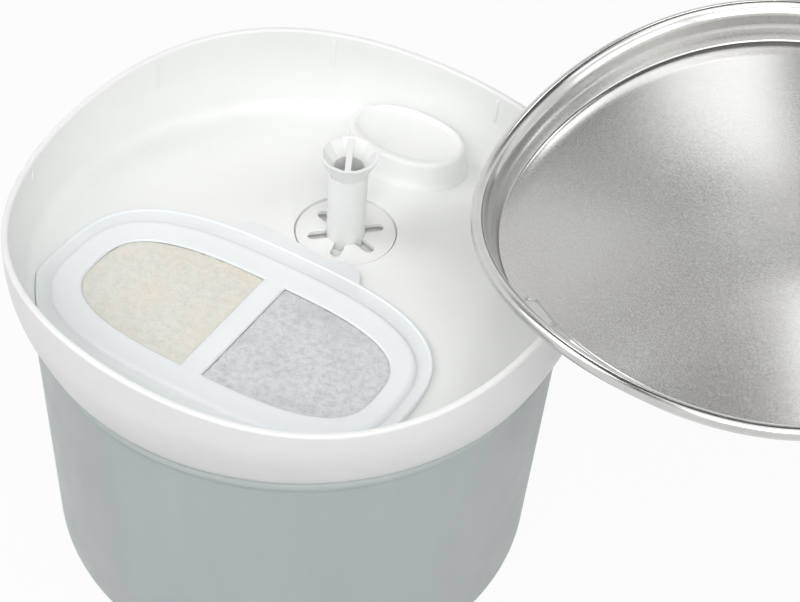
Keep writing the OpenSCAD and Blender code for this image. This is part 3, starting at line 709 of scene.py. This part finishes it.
class FOUNTAIN_OT_cassette_lid(bpy.types.Operator):
    """Moulds the cassette's lid with its double lip, pull tab and two windows"""

    bl_idname = "fountain.cassette_lid"
    bl_label = "Cassette Lid"

    def execute(self, context):
        sizes = context.scene.fountain_lid
        rim = [(0.0, LID_FOOT), (0.0, LID_FOOT + 1.5), (0.25, LID_FOOT + 1.95), (0.6, LID_FOOT + 2.1),
               (1.0, LID_FOOT + 1.95), (1.4, LID_FLANGE), (3.2, LID_FOOT + 1.5)]
        face = [(0.0, LID_FLANGE), (0.3, LID_FACE - 0.9), (0.8, LID_FACE - 0.3), (1.6, LID_FACE - 0.02),
                (2.6, LID_FACE), (3.6, LID_FACE - 0.1), (9.0, LID_FACE - 0.1)]
        rings = [[(x, y, z) for x, y in cassette_outline(inset, LID_CLIP - inset)] for inset, z in rim]
        for inset, z in face:
            outline = cassette_outline(FACE_INSET + inset, LID_CLIP - FACE_INSET - inset,
                                       FACE_INSET_Y + inset, FACE_SHIFT)
            rings.append([(x, y, z) for x, y in outline])
        lid = grow_rings("filter_lid", rings)
        combine(lid, slab("tab", tab_outline(), LID_FOOT, LID_FLANGE), "UNION")
        for side in (-1, 1):
            combine(lid, self.window(side, sizes.bar / MM))
        soften(lid, sizes.edge, segments=3, angle=35)
        colour = context.scene.fountain_colours.milk
        lid.data.materials.append(moulded("milky plastic", colour, roughness=0.33, glow=0.2))
        hand_over(lid, "lid_body", "cassette_plastic", "cassette_lid")
        return {"FINISHED"}

    def window(self, side, bar):
        """Cutter for one window, half an oval, that leaves a thin sloping lip over the pad."""
        half_x, half_y = WINDOW_HALF
        hair = 1e-6
        rings = []
        for level, lip in ((LID_FOOT - 2, 0.0), (LID_FACE - 0.72, 0.0), (LID_FACE - 0.66, 0.8),
                           (LID_FACE - 0.1, 0.15), (LID_FACE + 1, 0.0)):
            outline = oval(half_x - lip, half_y - lip, steps=180, power=3.0)
            rings.append([(side * max(bar / 2 + lip, side * x) + CASSETTE_X, y + CASSETTE_Y, level)
                          for x, y in outline if side * x > -hair])
        return grow_rings("window_tool", rings)


class FOUNTAIN_OT_filter_pads(bpy.types.Operator):
    """Mats the fibre pad and the carbon pad in the cassette"""

    bl_idname = "fountain.filter_pads"
    bl_label = "Filter Pads"

    def execute(self, context):
        looks = {
            "fibre_pad": ("fibre_fleece", fleece("fibre fleece", (0.80, 0.79, 0.725), (0.86, 0.73, 0.50),
                                                 fleck_share=0.45, strand_dark=0.92)),
            "carbon_pad": ("carbon_fleece", fleece("carbon fleece", (0.73, 0.76, 0.77), (0.46, 0.50, 0.52),
                                                   fleck_share=0.55, strand_dark=0.78)),
        }
        for node_name, (slot, material) in looks.items():
            self.mat_down(node_name, slot, material)
        return {"FINISHED"}

    def mat_down(self, node_name, slot, material):
        """Copies a pad's solid, remeshes it finely and roughens its skin."""
        begin()
        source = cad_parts[node_name]
        pad = bpy.data.objects.new(node_name.replace("_pad", "_fleece"), source.data.copy())
        bpy.context.scene.collection.objects.link(pad)
        bpy.context.view_layer.objects.active = pad
        pad.select_set(True)
        pad.data.materials.clear()
        bpy.ops.object.mode_set(mode="EDIT")
        bpy.ops.mesh.select_all(action="SELECT")
        bpy.ops.mesh.remove_doubles(threshold=1e-6)
        bpy.ops.object.mode_set(mode="OBJECT")
        voxels = pad.modifiers.new("voxels", "REMESH")
        voxels.mode = "VOXEL"
        voxels.voxel_size = 0.0007
        bpy.ops.object.modifier_apply(modifier=voxels.name)
        tufts = bpy.data.textures.new(node_name + " tufts", "CLOUDS")
        tufts.noise_scale = 0.0035
        tufts.noise_depth = 3
        lift = pad.modifiers.new("lift", "DISPLACE")
        lift.texture = tufts
        lift.texture_coords = "LOCAL"
        lift.strength = 0.0005
        lift.mid_level = 0.6
        bpy.ops.object.modifier_apply(modifier=lift.name)
        bpy.ops.object.shade_smooth()
        pad.data.materials.append(material)
        hand_over(pad, "cassette_body", slot, node_name)


# ---- the tank ----


class FOUNTAIN_OT_tank(bpy.types.Operator):
    """Moulds the frosted tank with its rounded foot and rolled lip"""

    bl_idname = "fountain.tank"
    bl_label = "Tank"

    def execute(self, context):
        sizes = context.scene.fountain_basin
        tank = revolve("frosted_tank", self.section(sizes.lip_roll / MM), sizes.steps)
        inner = TANK_SIDE - TANK_WALL
        combine(tank, slab("notch_tool", notch_outline(inner - 6, inner + 8), TANK_TOP - 7, TANK_TOP + 1))
        soften(tank, width=0.0003, segments=2, angle=50)
        tank.data.materials.append(frosted("frosted plastic", context.scene.fountain_colours.frost))
        hand_over(tank, "tank_body", "frosted_plastic", "tank")
        return {"FINISHED"}

    def section(self, roll):
        """Section from under the foot, up the side, over the lip and down inside."""
        def side(z):
            return TANK_SIDE - (TANK_TOP - z) * DRAFT
        foot_x = side(TANK_FOOT) - TANK_FOOT
        lip_foot = TANK_TOP - 4.0
        lip_radius = 1.9
        flat = (4, 30, foot_x - 12)
        outside = [(x, 0) for x in flat] + arc(foot_x, TANK_FOOT, TANK_FOOT, -90, -4, 16)
        outside += [(side(z), z) for z in (30, 50, 75, 100, lip_foot - 1.4, lip_foot - 0.6)]
        neck = side(lip_foot)
        lip = [(neck + roll * 0.35, lip_foot - 0.15), (neck + roll * 0.85, lip_foot + 0.3),
               (TANK_RADIUS, lip_foot + 1.0), (TANK_RADIUS, lip_foot + 1.6)]
        lip += arc(TANK_RADIUS - lip_radius, TANK_TOP - 2.3, lip_radius, 8, 62, 6)
        lip += [(TANK_RADIUS - 1.6, TANK_TOP - 0.25), (TANK_RADIUS - 2.1, TANK_TOP)]
        inner = [(side(z) - TANK_WALL, z) for z in (TANK_TOP, 124, 110, 80, 50, 30)]
        floor = arc(foot_x, TANK_FOOT, TANK_FOOT - TANK_WALL, -4, -90, 12)
        return outside + lip + inner + floor + [(x, TANK_WALL) for x in reversed(flat)]


# ---- the basin ----


def basin_side(height):
    """Outer radius of the basin at a height above the tank's lip."""
    return TANK_RADIUS + FLARE * math.sin(math.pi / 2 * min(height, FLARE_HEIGHT) / FLARE_HEIGHT)


class FOUNTAIN_OT_basin(bpy.types.Operator):
    """Moulds the white basin with its wavy rim, boss, drain seat and cassette well"""

    bl_idname = "fountain.basin"
    bl_label = "Basin"

    def execute(self, context):
        sizes = context.scene.fountain_basin
        edge = sizes.rim_edge / MM
        low, high = TANK_TOP + 24, TANK_TOP + RIM_MEAN - edge - 0.4
        basin = revolve("white_basin", self.section(sizes.fillet / MM, edge), sizes.steps,
                        lambda r, z, a: wave(a) * max(0.0, min(1.0, (z - low) / (high - low))))
        under_floor = FLOOR_TOP - 0.6
        combine(basin, slab("well", cassette_outline(inset=1.2, clip=93.2), WELL_FOOT, under_floor), "UNION")
        combine(basin, drum("cup", CUP_RADIUS, DRAIN_SEAT - 4.2, under_floor, 0, TUBE_BACK), "UNION")
        combine(basin, drum("collar", COLLAR_RADIUS, DRAIN_SEAT - 8, DRAIN_SEAT - 3, 0, TUBE_BACK), "UNION")
        combine(basin, self.boss(sizes.boss_height / MM), "UNION")
        ribs = [self.rib(math.radians(RIB_START + 360 / RIB_COUNT * i)) for i in range(RIB_COUNT)]
        combine(basin, join(ribs), "UNION")
        self.cut(basin)
        soften(basin, width=0.0003, segments=2, angle=45)
        colour = context.scene.fountain_colours.white
        basin.data.materials.append(moulded("white plastic", colour, roughness=0.36, grain=0.015, glow=0.15))
        hand_over(basin, "basin_body", "white_plastic", "basin")
        return {"FINISHED"}

    def section(self, fillet, edge):
        """Section from the middle of the floor, over the rim and down to the spigot."""
        fillet_r = basin_side(FLOOR_RISE + fillet) - BASIN_WALL
        floor = [(r, FLOOR_TOP) for r in (2, 30, 60, 80)]
        floor += arc(fillet_r - fillet, FLOOR_TOP + fillet, fillet, -88, -14, 12)
        heights = (11.5, 13, 15, 17, 19, 21, 23, 24)
        wall = [(basin_side(h) - BASIN_WALL, TANK_TOP + h) for h in heights]
        rim_top = TANK_TOP + RIM_MEAN
        rim_foot, edge_foot = rim_top - 6.5, rim_top - edge - 0.4
        rim = [(RIM_INNER, rim_foot), (RIM_INNER, edge_foot)]
        rim += arc(RIM_INNER + edge, rim_top - edge, edge, 180, 90, 6)
        rim += arc(RIM_RADIUS - edge, rim_top - edge, edge, 90, 0, 6)
        rim += [(RIM_RADIUS, edge_foot), (RIM_RADIUS, rim_foot)]
        outside = [(basin_side(h), TANK_TOP + h) for h in reversed((1.0, 3, 5) + heights[1:])]
        skirt = [(TANK_RADIUS - 0.1, TANK_TOP + 0.5), (TANK_RADIUS - 0.7, TANK_TOP + 0.3),
                 (SPIGOT_RADIUS, TANK_TOP + 0.3)]
        foot = TANK_TOP - SPIGOT_DEPTH
        drawn_in = SPIGOT_RADIUS - SPIGOT_DEPTH * DRAFT
        spigot_inner = SPIGOT_RADIUS - BASIN_WALL
        spigot = [(drawn_in, foot + 1.5), (drawn_in - 0.8, foot), (spigot_inner, foot)]
        under = [(r, FLOOR_TOP - BASIN_WALL) for r in (spigot_inner, 40, 2)]
        return floor + wall + rim + outside + skirt + spigot + under

    def boss(self, height):
        """Oval boss with a soft edge and a dished top; a level is a ring's growth, height and shift."""
        half_x, half_y = BOSS_HALF
        x, y = BOSS_PLACE
        levels = [(2.6, -1.0, 0), (2.3, 0.3, 0), (1.5, 1.1, 0), (0.9, 2.6, 0), (0.4, 5.5, 0),
                  (0.0, height - 1.5, 0), (-0.15, height - 0.8, 0), (-0.5, height - 0.3, 0),
                  (-1.1, height, 0), (-1.7, height, 0.2), (-2.3, height - 0.15, 0.5),
                  (-3.0, height - 0.7, 0.7), (-3.8, height - 1.25, 0.7), (-5.0, height - 1.5, 0.7),
                  (-9.0, height - 1.5, 0.4), (-13.0, height - 1.5, 0)]
        rings = []
        for grow, up, back in levels:
            ring = oval(half_x + grow, half_y + grow, steps=120, power=2.2)
            tilt = BOSS_TILT if up > 3 else 0.0
            rings.append([(px + x, py + y + back, FLOOR_TOP + up + tilt * (py + half_y)) for px, py in ring])
        return grow_rings("boss", rings)

    def rib(self, angle):
        """Small upright rib inside the rim that centres the dish."""
        along = (math.cos(angle), math.sin(angle))
        inner, outer = RIM_INNER - 0.5, RIM_RADIUS - 1.6
        corners = ((inner, -RIB_HALF), (outer, -RIB_HALF), (outer, RIB_HALF), (inner, RIB_HALF))
        outline = [(r * along[0] - w * along[1], r * along[1] + w * along[0]) for r, w in corners]
        return slab("rib", outline, TANK_TOP + 20, TANK_TOP + RIM_MEAN - 3 + wave(angle))

    def cut(self, basin):
        """Cuts the grating's seat, the drain, the cassette's well, its lid's seat and the notch."""
        tube = (0.0, TUBE_BACK)
        combine(basin, drum("seat", SEAT_RADIUS, DRAIN_SEAT, DRAIN_SEAT + 10, *tube))
        combine(basin, drum("hollow", HOLLOW_RADIUS, DRAIN_SEAT - 1.4, DRAIN_SEAT + 1, *tube))
        combine(basin, drum("bore", BORE_RADIUS, DRAIN_SEAT - 9, DRAIN_SEAT + 1, *tube))
        holes = arc(*tube, HOLES_OUT, 75, 75 + 360, HOLE_COUNT)[:-1]
        combine(basin, join([drum("hole", HOLE_RADIUS, DRAIN_SEAT - 8, DRAIN_SEAT - 1, x, y, 24)
                             for x, y in holes]))
        well_top = WELL_FOOT + 31
        combine(basin, slab("well", cassette_outline(inset=3, clip=91.4), WELL_FOOT + 1.6, well_top))
        combine(basin, slab("ledge", cassette_outline(inset=8, clip=86.4), WELL_FOOT - 1, well_top))
        combine(basin, slab("lid_seat", cassette_outline(inset=-0.3, clip=95.5), FLOOR_TOP, FLOOR_TOP + 8))
        combine(basin, slab("notch", notch_outline(88, 96), TANK_TOP - 10, TANK_TOP - 0.5))


class FOUNTAIN_OT_tube(bpy.types.Operator):
    """Finishes the riser tube, the grating and the cassette's tray"""

    bl_idname = "fountain.tube"
    bl_label = "Tube and Grating"

    def execute(self, context):
        colours = context.scene.fountain_colours
        white = moulded("tube plastic", colours.white, roughness=0.34, grain=0.015, glow=0.3)
        for name in ("riser_tube", "grating_disc"):
            paint(name, white)
        paint("cassette_base", moulded("milky tray plastic", colours.milk, roughness=0.4, glow=0.2))
        return {"FINISHED"}


# ---- the pump ----


class FOUNTAIN_OT_pump(bpy.types.Operator):
    """Finishes the pump inside the tank"""

    bl_idname = "fountain.pump"
    bl_label = "Pump"

    def execute(self, context):
        dark = moulded("pump plastic", (0.045, 0.05, 0.056), 0.45, grain=0.06, dark=0.85, light=1.2)
        ivory = rubber("ivory rubber", (0.62, 0.59, 0.48))
        clear = rubber("clear rubber", (0.62, 0.65, 0.66))
        looks = {
            "pump_housing": dark,
            "pump_back_cap": dark,
            "pump_front_cover": dark,
            "flow_slider": moulded("slider plastic", (0.22, 0.27, 0.30), 0.4, grain=0.04),
            "impeller": moulded("impeller plastic", (0.80, 0.81, 0.80), 0.3),
            "rotor_magnet": moulded("ferrite", (0.04, 0.04, 0.043), 0.55, grain=0.1, dark=0.8, light=1.3),
            "rotor_shaft": bright_steel("ground steel", (0.7, 0.7, 0.7)),
            "front_bush": ivory,
            "rear_bush": ivory,
            "stator_core": laminated("core sheets", (0.3, 0.31, 0.33)),
            "stator_coil": wound_copper("copper winding", (0.58, 0.26, 0.11)),
            "suction_cups": clear,
            "outlet_adaptor": clear,
            "cable_gland": rubber("black rubber", (0.02, 0.02, 0.022)),
        }
        for name, material in looks.items():
            paint(name, material)
        return {"FINISHED"}


# ---- stage, lamps and camera ----


class StageSettings(bpy.types.PropertyGroup):
    """Floor, lamps and camera"""

    lens: bpy.props.FloatProperty(
        name="Lens", description="Focal length of the camera in millimetres", default=90.0,
        min=20, max=200)
    world: bpy.props.FloatProperty(
        name="World", description="Strength of the light from all round", default=1.0,
        min=0, max=2)
    front: bpy.props.FloatProperty(
        name="Front lamp", description="Power of the large lamp in front", default=11.6,
        min=0, max=100, subtype="POWER")
    left: bpy.props.FloatProperty(
        name="Left lamp", description="Power of the large lamp at the left", default=8.6,
        min=0, max=100, subtype="POWER")
    right: bpy.props.FloatProperty(
        name="Right lamp", description="Power of the large lamp at the right", default=4.5,
        min=0, max=100, subtype="POWER")
    top: bpy.props.FloatProperty(
        name="Top lamp", description="Power of the large lamp overhead", default=3.2,
        min=0, max=100, subtype="POWER")
    back: bpy.props.FloatProperty(
        name="Back lamp", description="Power of the soft box behind the object", default=0.9,
        min=0, max=100, subtype="POWER")


def seen_directly(tree):
    """1 for rays from the camera, off gloss and through clear things, 0 for diffuse light."""
    path = tree.nodes.new("ShaderNodeLightPath")
    seen = path.outputs["Is Camera Ray"]
    for name in ("Is Glossy Ray", "Is Transmission Ray"):
        either = tree.nodes.new("ShaderNodeMath")
        either.operation = "MAXIMUM"
        tree.links.new(seen, either.inputs[0])
        tree.links.new(path.outputs[name], either.inputs[1])
        seen = either.outputs[0]
    return seen


def paper_floor():
    """Pale floor that keeps the object's shadow and reads as white paper."""
    material = bpy.data.materials.new("paper floor")
    material.use_nodes = True
    tree = material.node_tree
    shader = tree.nodes["Principled BSDF"]
    shader.inputs["Base Color"].default_value = (0.55, 0.55, 0.55, 1.0)
    shader.inputs["Roughness"].default_value = 0.9
    glow = tree.nodes.new("ShaderNodeEmission")
    glow.inputs["Color"].default_value = (1.0, 1.0, 1.0, 1.0)
    share = tree.nodes.new("ShaderNodeMath")
    share.operation = "MULTIPLY"
    share.inputs[1].default_value = 0.95
    tree.links.new(seen_directly(tree), share.inputs[0])
    mix = tree.nodes.new("ShaderNodeMixShader")
    tree.links.new(share.outputs[0], mix.inputs[0])
    tree.links.new(shader.outputs[0], mix.inputs[1])
    tree.links.new(glow.outputs[0], mix.inputs[2])
    tree.links.new(mix.outputs[0], tree.nodes["Material Output"].inputs["Surface"])
    return material


def sky(tree, height, strength, marks):
    """A background whose level follows the height of the direction; a mark is a height and a level."""
    light = tree.nodes.new("ShaderNodeBackground")
    light.inputs["Strength"].default_value = strength
    ramp = tree.nodes.new("ShaderNodeValToRGB")
    tree.links.new(height, ramp.inputs["Fac"])
    tree.links.new(ramp.outputs["Color"], light.inputs["Color"])
    elements = ramp.color_ramp.elements
    while len(elements) < len(marks):
        elements.new(0.5)
    for element, (place, level) in zip(elements, marks):
        element.position = place
        element.color = (level, level, level * SKY_BLUE, 1.0)
    return light.outputs[0]


def set_world(strength):
    """White backdrop that darkens overhead, and a softer light from it on the object."""
    world = bpy.data.worlds.new("studio")
    bpy.context.scene.world = world
    world.use_nodes = True
    tree = world.node_tree
    tree.nodes.remove(tree.nodes["Background"])
    coords = tree.nodes.new("ShaderNodeTexCoord")
    split = tree.nodes.new("ShaderNodeSeparateXYZ")
    tree.links.new(coords.outputs["Generated"], split.inputs[0])
    light = sky(tree, split.outputs["Z"], strength,
                ((0.0, 0.3), (0.15, 0.35), (0.35, 0.5), (0.55, 0.45), (0.75, 0.1)))
    backdrop = sky(tree, split.outputs["Z"], 1.0,
                   ((0.3, 1.0), (0.52, 0.95), (0.6, 0.58), (0.7, 0.36), (0.8, 0.15), (1.0, 0.1)))
    mix = tree.nodes.new("ShaderNodeMixShader")
    tree.links.new(seen_directly(tree), mix.inputs[0])
    tree.links.new(light, mix.inputs[1])
    tree.links.new(backdrop, mix.inputs[2])
    tree.links.new(mix.outputs[0], tree.nodes["World Output"].inputs["Surface"])


def lamp(name, place, target, size, power):
    """A square soft lamp aimed at a point."""
    begin()
    bpy.ops.object.light_add(type="AREA", location=place)
    light = bpy.context.object
    light.name = name
    light.data.size = size
    light.data.energy = power
    aim = Vector(target) - Vector(place)
    light.rotation_euler = aim.to_track_quat("-Z", "Y").to_euler()


class FOUNTAIN_OT_stage(bpy.types.Operator):
    """Sets up the floor, lamps and camera"""

    bl_idname = "fountain.stage"
    bl_label = "Stage"

    def execute(self, context):
        settings = context.scene.fountain_stage
        begin()
        bpy.ops.mesh.primitive_plane_add(size=12.0, location=(0, 0, -0.0002))
        floor = context.object
        floor.name = "floor"
        floor.data.materials.append(paper_floor())
        set_world(settings.world)
        for name, place, size, power in (("front lamp", (0.6, -0.98, 1.26), 1.0, settings.front),
                                         ("left lamp", (-0.93, -0.57, 1.26), 1.0, settings.left),
                                         ("right lamp", (1.16, -0.2, 1.26), 1.0, settings.right),
                                         ("top lamp", (0.26, -0.36, 1.68), 0.9, settings.top)):
            lamp(name, place, OBJECT_MIDDLE, size, power)
        lamp("back lamp", (-0.332, 0.699, 1.214), DISH_MIDDLE, size=0.3, power=settings.back)
        self.camera(context, settings.lens)
        context.scene.view_settings.view_transform = "Standard"
        return {"FINISHED"}

    def camera(self, context, lens):
        """Camera above the front right, slightly rolled."""
        bpy.ops.object.camera_add()
        camera = context.object
        camera.data.lens = lens
        camera.data.sensor_width = SENSOR_WIDTH
        camera.data.clip_end = 50.0
        ahead = Vector(CAMERA_AHEAD).normalized()
        right = Vector(CAMERA_RIGHT).normalized()
        turned = Matrix((right, right.cross(ahead), -ahead)).transposed().to_4x4()
        camera.matrix_world = Matrix.Translation(Vector(CAMERA_PLACE) * MM) @ turned
        context.scene.camera = camera


# ---- panel and registration ----


class FOUNTAIN_PT_panel(bpy.types.Panel):
    """Lists the fountain's settings and pieces"""

    bl_label = "Pet Water Fountain"
    bl_space_type = "VIEW_3D"
    bl_region_type = "UI"
    bl_category = "Fountain"

    def draw(self, context):
        for name, group_class, title in GROUPS:
            box = self.layout.box()
            box.label(text=title)
            for key in group_class.__annotations__:
                box.prop(getattr(context.scene, name), key)
        for operator in OPERATORS:
            self.layout.operator(operator.bl_idname)


GROUPS = (("fountain_basin", BasinSizes, "Basin and Tank"),
          ("fountain_dish", DishSizes, "Dish"),
          ("fountain_lid", LidSizes, "Lid"),
          ("fountain_colours", FountainColours, "Colours"),
          ("fountain_stage", StageSettings, "Stage"))
OPERATORS = (FOUNTAIN_OT_tank, FOUNTAIN_OT_basin, FOUNTAIN_OT_tube, FOUNTAIN_OT_dish,
             FOUNTAIN_OT_cassette_lid, FOUNTAIN_OT_filter_pads, FOUNTAIN_OT_pump, FOUNTAIN_OT_stage)


def register():
    """Registers the settings, the operators and the panel."""
    for name, group_class, _title in GROUPS:
        bpy.utils.register_class(group_class)
        setattr(bpy.types.Scene, name, bpy.props.PointerProperty(type=group_class))
    for operator in OPERATORS:
        bpy.utils.register_class(operator)
    bpy.utils.register_class(FOUNTAIN_PT_panel)


def unregister():
    """Takes them away again, in the other order."""
    bpy.utils.unregister_class(FOUNTAIN_PT_panel)
    for operator in reversed(OPERATORS):
        bpy.utils.unregister_class(operator)
    for name, group_class, _title in reversed(GROUPS):
        delattr(bpy.types.Scene, name)
        bpy.utils.unregister_class(group_class)


def main():
    register()
    bpy.ops.fountain.tank()
    bpy.ops.fountain.basin()
    bpy.ops.fountain.tube()
    bpy.ops.fountain.dish()
    bpy.ops.fountain.cassette_lid()
    bpy.ops.fountain.filter_pads()
    bpy.ops.fountain.pump()
    bpy.ops.fountain.stage()


if __name__ == "__main__":
    main()
